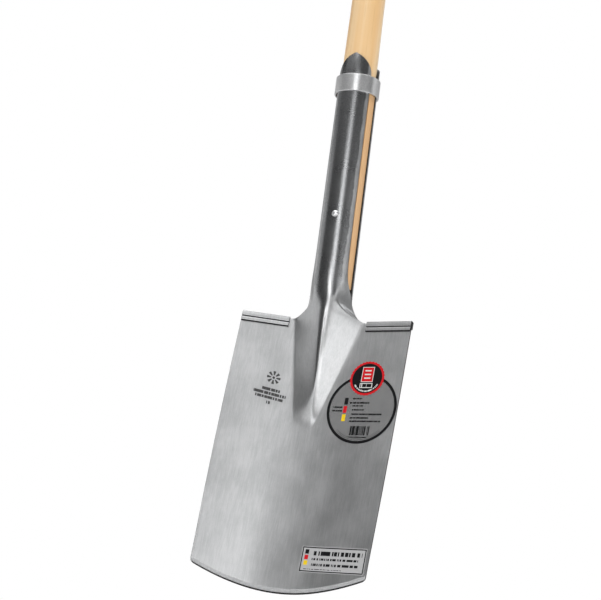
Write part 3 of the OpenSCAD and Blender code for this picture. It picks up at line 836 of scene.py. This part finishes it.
# ======================================================================================
# Shaft and grip: turned ash under a thin clear lacquer, so the grain shows. Below the
# collar the shaft is painted a warmer brown: painted shade where it shows between the straps.
ash_dark, ash_light = (0.86, 0.55, 0.26), (0.94, 0.70, 0.42)
pore_brown, shaded_brown = (0.62, 0.36, 0.15), (0.75, 0.37, 0.13)
pore_share, shade_share = 0.35, 0.6
shade_fade = 0.004

ash = Finish("lacquered ash")
place = ash.place()
bands = ash.noise(ash.stretched(place, 1.0, 1.0, 0.03), 70, 2.0, 0.5)
pores = ash.noise(ash.stretched(place, 1.0, 1.0, 0.02), 900, 2.0, 0.6)
grain = ash.blend(bands.over(0.35, 0.65), ash_dark, ash_light)
grain = ash.blend(pores.over(0.60, 0.75) * pore_share, grain, pore_brown)
height = split(ash, place)[2]
# Below the collar's top the wood is painted darker and warmer: painted shade between the straps
shaded_foot = 1 - height.over(top_z + collar_z - shade_fade, top_z + collar_z + shade_fade)
grain = ash.blend(shaded_foot * shade_share, grain, shaded_brown)
ash.fill(Base_Color=grain, Roughness=0.38, Coat_Weight=0.3, Normal=ash.bump(pores, 0.00003))
for node in ("shaft", "grip_bar"):
    ash.on(frame["nodes"][node])

# ======================================================================================
# Wedge and pin. A darker hardwood wedge is driven into the tenon to spread it in the bar,
# and a drawn steel pin is pressed through the bar and the tenon, below the wedge.
hardwood_dark, hardwood_light = (0.30, 0.15, 0.06), (0.42, 0.24, 0.11)
pin_dark, pin_light = (0.34, 0.34, 0.345), (0.50, 0.50, 0.505)

hardwood = Finish("wedge hardwood")
rays = hardwood.noise(hardwood.stretched(hardwood.place(), 1.0, 0.2, 1.0), 1400, 3.0, 0.6)
hardwood.fill(
    Base_Color=hardwood.blend(rays.over(0.35, 0.65), hardwood_dark, hardwood_light),
    Roughness=0.5, Normal=hardwood.bump(rays, 0.00004),
)
hardwood.on(frame["nodes"]["grip_wedge"])

drawn = Finish("drawn pin steel")
scratches = drawn.noise(drawn.stretched(drawn.place(), 1.0, 0.05, 1.0), 2600, 2.0, 0.6)
drawn.fill(
    Base_Color=drawn.blend(scratches, pin_dark, pin_light), Metallic=1.0,
    Roughness=scratches * 0.15 + 0.28, Normal=drawn.bump(scratches, 0.00002),
)
drawn.on(frame["nodes"]["grip_pin"])

# ======================================================================================
# Collar: a ring bent from bright zinc-plated strip and driven down over both straps,
# where it holds them closed on the shaft. Its edges are broken, and it isn't quite round.
zinc_dark, zinc_light = (0.70, 0.705, 0.71), (0.84, 0.845, 0.85)
zinc = Finish("zinc plate")
speckle = zinc.noise(zinc.place(), 900, 2.0, 0.6)
zinc.fill(
    Base_Color=zinc.blend(speckle.over(0.3, 0.7), zinc_dark, zinc_light), Metallic=1.0,
    Roughness=0.33, Normal=zinc.bump(speckle, 0.00002),
)


def lathe(name, outline, place, steps, closed=False):
    """A turned piece: outline is (radius, height) pairs, and place puts them round an axis."""
    turns = np.linspace(0, 2 * math.pi, steps, endpoint=False)
    points = np.concatenate([place(turns, r, h) for r, h in outline])
    rings = len(outline)
    faces = []
    for i in range(rings if closed else rings - 1):
        a, b = i * steps, (i + 1) % rings * steps
        faces += [(a + j, a + (j + 1) % steps, b + (j + 1) % steps, b + j) for j in range(steps)]
    if not closed:
        faces += [tuple(range(steps)), tuple(range((rings - 1) * steps, rings * steps))]
    return solid(name, points, faces)


collar_h = 0.0188
collar_t = 0.002
collar_fit = 0.00015
collar_chamfer = 0.0006
collar_ease = 0.25 * collar_chamfer
collar_round = 0.00008
# How far it is out of round: each wave's size, how many go round, and where they start
collar_waves = ((0.00006, 3, 0.4), (0.000036, 7, 1.9))
collar_in = float(strap_r(collar_z)) + collar_fit
collar_out = collar_in + collar_t


def round_collar(turns, r, z):
    """Round the shaft's axis, with the slight waves of a rolled ring."""
    wave = sum(size * (np.sin(waves * turns + start) - 1) for size, waves, start in collar_waves)
    r = np.where(r > collar_in, r + wave, r)
    return around_shaft(turns, r, z, -1)


# The broken edge, as steps inward from the collar's outside and in from its end
eased = 0.3 * collar_ease
broken_edge = [
    (collar_chamfer + collar_ease, 0), (collar_chamfer, eased),
    (eased, collar_chamfer), (0, collar_chamfer + collar_ease),
]
collar_outline = (
    [(collar_in, collar_z)]
    + [(collar_out - inward, collar_z + up) for inward, up in broken_edge]
    + [(collar_out - inward, collar_z + collar_h - down) for inward, down in broken_edge[::-1]]
    + [(collar_in, collar_z + collar_h)]
)
collar = lathe("collar", collar_outline, round_collar, steps=144, closed=True)
round_edges(collar, collar_round, least_angle=40)
zinc.on(collar)
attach(collar, "root")
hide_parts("collar")

# ======================================================================================
# Rivet: a zinc-plated shank through both straps and the shaft, headed over in a dome at
# each end, so that the shaft can't turn or pull out.
rivet_z = 0.108
rivet_r = 0.0025
rivet_head_r = 0.0035
rivet_head_h = 0.0016
rivet_reach = float(strap_r(rivet_z))


def round_rivet(turns, r, y):
    """Round the rivet's axis, which runs from front to back through the shaft's."""
    return points_at(r * np.cos(turns), shaft_y + y, top_z + rivet_z + r * np.sin(turns))


# The dome stops a little short of its pole, which one small flat face closes
dome = [
    (rivet_head_r * math.cos(a), rivet_reach + rivet_head_h * math.sin(a))
    for a in np.linspace(0, 0.98 * math.pi / 2, 12)
]
shank = [(rivet_r, -rivet_reach), (rivet_r, rivet_reach)]
rivet_outline = [(r, -y) for r, y in dome[::-1]] + shank + dome
rivet = lathe("socket_rivet", rivet_outline, round_rivet, steps=40)
zinc.on(rivet)
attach(rivet, "root")
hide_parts("socket_rivet")

# ======================================================================================
# Treads: strips of the same steel folded over the blade's shoulders and welded there, to
# take a boot. A rolled groove parts each front leg into two beads. The groove is painted
# dark as painted shade, and the foot of the leg as painted shadow under its lip.
tread_t = 0.0017
tread_fit = 0.0001
tread_front_h = 0.0093
tread_back_h = 0.0065
tread_round = 0.0011
tread_edge_round = 0.00025
lip_round, lip_h = 0.0012, 0.0015
# The groove, and the two beads: how far they bulge, where the lower one is and half of
# each one's height
groove_at, groove_depth, groove_half = 0.0043, 0.0008, 0.0005
bead_bulge = 0.00022
upper_bead_half, lower_bead_half = 0.0035, 0.0025
lower_bead_at = 0.0066
# Lower than this, the front leg is painted dark: painted shadow under its lip
painted_shadow_below = -0.0086
wing_l = (blade_top_w / 2 - bend_half) / math.cos(wing_angle)
tread_from = (shoulder_half - bend_half) / math.cos(wing_angle)


def front_leg(z, top):
    """How far the front leg is pressed in at height z: the groove, and the sides of two beads."""
    groove = groove_depth * math.exp(-(((z + groove_at) / groove_half) ** 2))
    upper = (z - (top - tread_round - groove_at) / 2) / upper_bead_half
    lower = (z + lower_bead_at) / lower_bead_half
    return groove + bead_bulge * min(upper**2, lower**2, 1)


def tread_section():
    """Outline of the folded strip: how far behind the plate's face, and how far up."""
    top = tread_fit + tread_t
    front = -top
    rear = plate_t + top
    lip = [
        (front + tread_t * (1 - math.sin(a)), -tread_front_h + lip_round * (1 - math.cos(a)))
        for a in stretch(0, math.pi / 2, 6)
    ]
    leg = [
        (front + front_leg(z, top), z)
        for z in np.linspace(-tread_front_h + lip_h, top - tread_round, 34)
    ]
    corner = [
        (tread_round * (1 - math.cos(a)), top - tread_round * (1 - math.sin(a)))
        for a in np.linspace(0, math.pi / 2, 7)
    ]
    return (
        [(-tread_fit, tread_fit), (-tread_fit, -tread_front_h)]
        + lip
        + leg
        + [(front + inward, z) for inward, z in corner[1:]]
        + [(rear - inward, z) for inward, z in corner[::-1]]
        + [(rear, -tread_back_h), (rear - tread_t, -tread_back_h), (rear - tread_t, tread_fit)]
    )


def tread(name, side):
    """One tread: the folded strip laid along the shoulder on the left (-1) or right (1)."""
    outline = tread_section()
    ys, zs = (np.array(values) for values in zip(*outline))
    rows = np.linspace(tread_from, wing_l, 12)
    points = []
    for s in rows:
        x = bend_half + s * math.cos(wing_angle) + ys * math.sin(wing_angle)
        n = wing_start + s * math.sin(wing_angle) - ys * math.cos(wing_angle)
        points.append(blade_point(side * x, -zs, n))
    count = len(outline)
    faces = [tuple(range(count)), tuple(range((len(rows) - 1) * count, len(rows) * count))]
    cut = [True, True]
    for i in range(len(rows) - 1):
        here, there = i * count, (i + 1) * count
        for j in range(count):
            k = (j + 1) % count
            faces.append((here + j, here + k, there + k, there + j))
            # The groove and the leg's foot are marked cut, which paints them dark: painted shade
            # in the groove, painted shadow under the lip
            z = (zs[j] + zs[k]) / 2
            in_shaded_groove = abs(z + groove_at) < groove_half
            cut.append(ys[j] < 0 and (in_shaded_groove or z < painted_shadow_below))
    piece = solid(name, np.concatenate(points), faces, cut)
    round_edges(piece, tread_edge_round, least_angle=60)
    steel.on(piece)
    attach(piece, "root")
    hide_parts(name)


tread("tread_left", -1)
tread("tread_right", 1)

# ======================================================================================
# Labels: clear and silver films stuck on the blade's face, printed in black with a few
# blocks of colour. Their lines of print are plain broken bars, and say nothing.
black_ink = (0.006, 0.006, 0.007)
red_ink = (0.62, 0.012, 0.018)
amber_ink = (0.86, 0.60, 0.02)
light_ink = (0.72, 0.72, 0.70)
film_rough, film_gloss = 0.5, 0.12
# The labels' places are in millimetres, across from the middle and down from the treads
label_x = 52.4
info_w, info_r, ring_t = 92.8, 36.9, 2.9


def print_place(finish):
    """Millimetres across from the blade's middle, and down from its treads."""
    across, behind, above = split(finish, on_face(finish))
    return across * 1000, above * -1000


# This share of the stripes' cells is left bare
bare_cells = 0.32


def stripes(finish, u, step):
    """Plain stripes of uneven width."""
    cell = (u / step).math("FLOOR")
    pick = finish.node("ShaderNodeTexWhiteNoise", {"noise_dimensions": "1D"}, {"W": cell})
    return pick.over(bare_cells, bare_cells + 0.01)


def ring_band(radius, inner, outer):
    """1 between two radii."""
    return radius.over(inner, inner + mark_soft) * (1 - radius.over(outer, outer + mark_soft))


# Each row of print on the round label: its top, its height, its left and its right end
info_rows = (
    (81.2, 1.6, 41.0, 51.0), (85.6, 1.9, 38.5, 59.5), (89.0, 1.5, 41.5, 53.5),
    (93.2, 1.6, 42.0, 55.0), (97.8, 1.8, 42.0, 75.0), (101.7, 1.7, 41.0, 61.0),
    (105.3, 1.7, 41.5, 74.5), (90.6, 1.7, 21.5, 31.5), (94.4, 1.7, 21.0, 32.0),
    (122.2, 1.3, 43.5, 63.0),
)
striped_block, stripe_step = (43.5, 64.5, 111.2, 121.0), 0.55
# Three patches of colour beside the rows: left, right and height, then each one's top
info_patch = (32.6, 36.6, 7.4)
info_patches = ((81.2, black_ink), (90.0, red_ink), (98.8, amber_ink))
# Two thin arcs inside the ring, at its foot: the radii of each, where they start and end,
# and how dark they are
arcs, arc_start, arc_end = ((31.0, 31.5), (32.6, 33.1)), (0.75, 0.80), (2.34, 2.39)
arc_ink = 0.7
film_grey, film_cover = (0.30, 0.30, 0.30), 0.28

info = Finish("clear film, printed")
u, w = print_place(info)
radius = ((u - label_x) * (u - label_x) + (w - info_w) * (w - info_w)).math("SQRT")
ink = radius.over(info_r - ring_t, info_r - ring_t + mark_soft)
for i, (top, height, left, right) in enumerate(info_rows):
    row = block(u, w, left, right, top, top + height)
    ink = ink + row * broken(info, u, 0.9, 11.3 * i, 0.38)
ink = ink + block(u, w, *striped_block) * stripes(info, u, stripe_step)
around = (w - info_w).math("ARCTAN2", u - label_x)
low = around.over(*arc_start) * (1 - around.over(*arc_end))
for inner, outer in arcs:
    ink = ink + ring_band(radius, inner, outer) * low * arc_ink
cover = ink.math("MINIMUM", 1.0)
tone = info.blend(cover, film_grey, black_ink)
left, right, height = info_patch
for top, colour in info_patches:
    patch = block(u, w, left, right, top, top + height)
    tone = info.blend(patch, tone, colour)
    cover = (cover + patch).math("MINIMUM", 1.0)
info.fill(
    Base_Color=tone, Roughness=film_rough, Specular_IOR_Level=film_gloss,
    Alpha=cover * (1 - film_cover) + film_cover,
)
info.on(frame["nodes"]["info_label"])

seal_w, seal_disc_r = 60.3, 15.9
tick_ring, tick_start, tick_end = (13.0, 14.5), (0.45, 0.5), (2.6, 2.65)
# The print on the seal, laid one over the other: left, right, top, bottom and ink
seal_print = (
    (-6.4, 6.4, -12.4, 4.0, light_ink), (-5.8, 5.8, -11.8, 3.4, red_ink),
    (-3.4, 3.4, -9.0, -7.5, light_ink), (-3.4, 3.4, -5.0, -3.5, light_ink),
    (-3.4, 3.4, -1.0, 0.5, light_ink), (-6.8, 6.8, 5.0, 10.4, light_ink),
)
broken_bar = (-6.1, 6.1, 5.8, 9.6)

seal = Finish("seal film, printed")
u, w = print_place(seal)
u, w = u - label_x, w - seal_w
radius = (u * u + w * w).math("SQRT")
around = w.math("ARCTAN2", u)
disc = 1 - radius.over(seal_disc_r, seal_disc_r + mark_soft)
ticks = ring_band(radius, *tick_ring) * around.over(*tick_start) * (1 - around.over(*tick_end))
tone = seal.blend(disc, red_ink, black_ink)
tone = seal.blend(ticks * broken(seal, around, 14.0, 3.0), tone, light_ink)
for left, right, top, bottom, colour in seal_print:
    tone = seal.blend(block(u, w, left, right, top, bottom), tone, colour)
bar = block(u, w, *broken_bar) * broken(seal, u, 0.55, 8.0, 0.38)
tone = seal.blend(bar, tone, black_ink)
seal.fill(Base_Color=tone, Roughness=film_rough, Specular_IOR_Level=film_gloss)
seal.on(frame["nodes"]["seal_label"])

# The foot label's frame is a line between two distances in from its edge
foot_left, foot_right, foot_top, foot_bottom = 18.0, 85.5, 235.7, 261.7
frame_outside, frame_inside = 0.6, 1.7
# Each row of print: its top, its height, its left and right end, and how close its dashes are
foot_rows = (
    (240.3, 4.4, 29.5, 81.5, 0.42), (247.2, 2.3, 29.0, 78.0, 0.7),
    (252.6, 2.6, 28.5, 78.5, 0.62), (258.0, 0.8, 22.5, 62.0, 0.9),
)
foot_patch = (21.6, 25.6, 4.6)
foot_patches = ((238.9, black_ink), (244.4, red_ink), (249.9, amber_ink))
silver_dark, silver_light = (0.42, 0.42, 0.425), (0.54, 0.54, 0.545)


def foot_inside(u, w, edge):
    """The foot label without a margin of this width."""
    return block(
        u, w, foot_left + edge, foot_right - edge, foot_top + edge, foot_bottom - edge
    )


foot = Finish("silver film, printed")
u, w = print_place(foot)
ink = foot_inside(u, w, frame_outside) - foot_inside(u, w, frame_inside)
for i, (top, height, left, right, dash) in enumerate(foot_rows):
    row = block(u, w, left, right, top, top + height)
    ink = ink + row * broken(foot, u, dash, 7.7 * i + 2)
silver = foot.noise(foot.place(), 700, 2.0, 0.6)
tone = foot.blend(silver, silver_dark, silver_light)
tone = foot.blend(ink.math("MINIMUM", 1.0), tone, black_ink)
left, right, height = foot_patch
for top, colour in foot_patches:
    tone = foot.blend(block(u, w, left, right, top, top + height), tone, colour)
foot.fill(Base_Color=tone, Roughness=film_rough, Specular_IOR_Level=film_gloss)
foot.on(frame["nodes"]["foot_label"])

# ======================================================================================
# Studio: a pale floor that can be seen only from above and runs out into a white
# background, and soft lamps all round. The camera stands low in front, to the right.
floor_half, floor_drop = 6.0, 0.0005
floor_grey = (0.62, 0.62, 0.62)
# The floor runs out into the white background between these distances from the spade
floor_seen, floor_gone = 0.35, 1.1
floor_corners = ((-1, -1), (1, -1), (1, 1), (-1, 1))
floor = solid(
    "floor", [(x * floor_half, y * floor_half, 0) for x, y in floor_corners], [(0, 1, 2, 3)]
)
floor.location.z = -floor_drop
paint = Finish("floor paint")
paint.fill(Base_Color=floor_grey, Roughness=0.8)
under = paint.node("ShaderNodeNewGeometry", output="Backfacing")
away = paint.node(
    "ShaderNodeVectorMath", {"operation": "LENGTH"}, {0: paint.place()}, output="Value"
)
viewed = paint.node("ShaderNodeLightPath", output="Is Camera Ray")
hidden = under.math("MAXIMUM", viewed * away.over(floor_seen, floor_gone))
clear = paint.node("ShaderNodeBsdfTransparent")
paint.show(paint.node("ShaderNodeMixShader", {}, {0: hidden, 1: paint.filled(), 2: clear}))
paint.on(floor)

# The camera: where it stands, then how many degrees it is turned, tilted up and rolled
eye = Vector((0.52394, -1.60988, -0.06438))
eye_turn, eye_tilt, eye_roll = (math.radians(a) for a in (18.491, 11.727, 7.476))
camera = bpy.data.objects.new("camera", bpy.data.cameras.new("camera"))
bpy.context.scene.collection.objects.link(camera)
camera.matrix_world = (
    Matrix.Translation(eye)
    @ Matrix.Rotation(eye_turn, 4, "Z")
    @ Matrix.Rotation(math.pi / 2 + eye_tilt, 4, "X")
    @ Matrix.Rotation(eye_roll, 4, "Z")
)
camera.data.sensor_width = 36
camera.data.lens = 104.83
bpy.context.scene.camera = camera
bpy.context.scene.view_settings.view_transform = "Standard"

# The camera sees a white backdrop. Reflections and glass see it behind the spade, and
# elsewhere a dim room, so that the metal shows the lamps against something darker.
white, white_level, room_level = (1, 1, 1), 1.0, 0.10
backdrop_edge, backdrop_full = math.cos(math.radians(34)), math.cos(math.radians(22))
backdrop_way = (-math.sin(eye_turn), math.cos(eye_turn), 0)
sky = Finish("studio", "worlds")
bpy.context.scene.world = sky.owner
sky.fill(Color=white, Strength=room_level)
backdrop = sky.node("ShaderNodeBackground", {}, {"Color": white, "Strength": white_level})
way = sky.node("ShaderNodeTexCoord", output="Generated")
toward = sky.node(
    "ShaderNodeVectorMath", {"operation": "DOT_PRODUCT"}, {0: way, 1: backdrop_way},
    output="Value",
)
behind = sky.node(
    "ShaderNodeMapRange", {},
    {"Value": toward, "From Min": backdrop_edge, "From Max": backdrop_full},
)
viewed, mirrored, passed = (
    sky.node("ShaderNodeLightPath", output=f"Is {ray} Ray")
    for ray in ("Camera", "Glossy", "Transmission")
)
whitened = viewed.math("MAXIMUM", mirrored.math("MAXIMUM", passed) * behind)
sky.show(sky.node("ShaderNodeMixShader", {}, {0: whitened, 1: sky.filled(), 2: backdrop}))

lamp_distance = 2.2


def softbox(name, azimuth, elevation, wide, high, radiance):
    """A soft lamp aimed at the blade's top; azimuth runs from the front towards +X."""
    lamp = bpy.data.lights.new(name, "AREA")
    lamp.shape = "RECTANGLE"
    lamp.size = 2 * lamp_distance * math.tan(math.radians(wide / 2))
    lamp.size_y = 2 * lamp_distance * math.tan(math.radians(high / 2))
    lamp.energy = radiance * math.pi * lamp.size * lamp.size_y
    box = bpy.data.objects.new(name, lamp)
    bpy.context.scene.collection.objects.link(box)
    a, e = math.radians(azimuth), math.radians(elevation)
    away = Vector((math.sin(a) * math.cos(e), -math.cos(a) * math.cos(e), math.sin(e)))
    box.location = Vector((0, shaft_y, top_z)) + away * lamp_distance
    box.rotation_mode = "QUATERNION"
    box.rotation_quaternion = away.to_track_quat("Z", "Y")


# Each lamp: its azimuth and elevation, how wide and high it looks from the spade, all in
# degrees, and its radiance
for lamp in (
    ("front strip", 7, 11, 15, 23, 5.0),
    ("front overhead", -46, 36, 44, 20, 0.42),
    ("front low strip", -18, -10, 36, 15, 5.2),
    ("left box", -92, 6, 40, 32, 1.0),
    ("right strip", 58, -7, 42, 34, 3.5),
    ("right overhead", 60, 72, 100, 24, 3.2),
    ("left overhead", -100, 70, 76, 24, 2.3),
    ("right box", 112, 12, 24, 40, 0.6),
    ("back right box", 150, 34, 46, 40, 0.3),
    ("back left box", -140, 30, 60, 44, 0.3),
):
    softbox(*lamp)
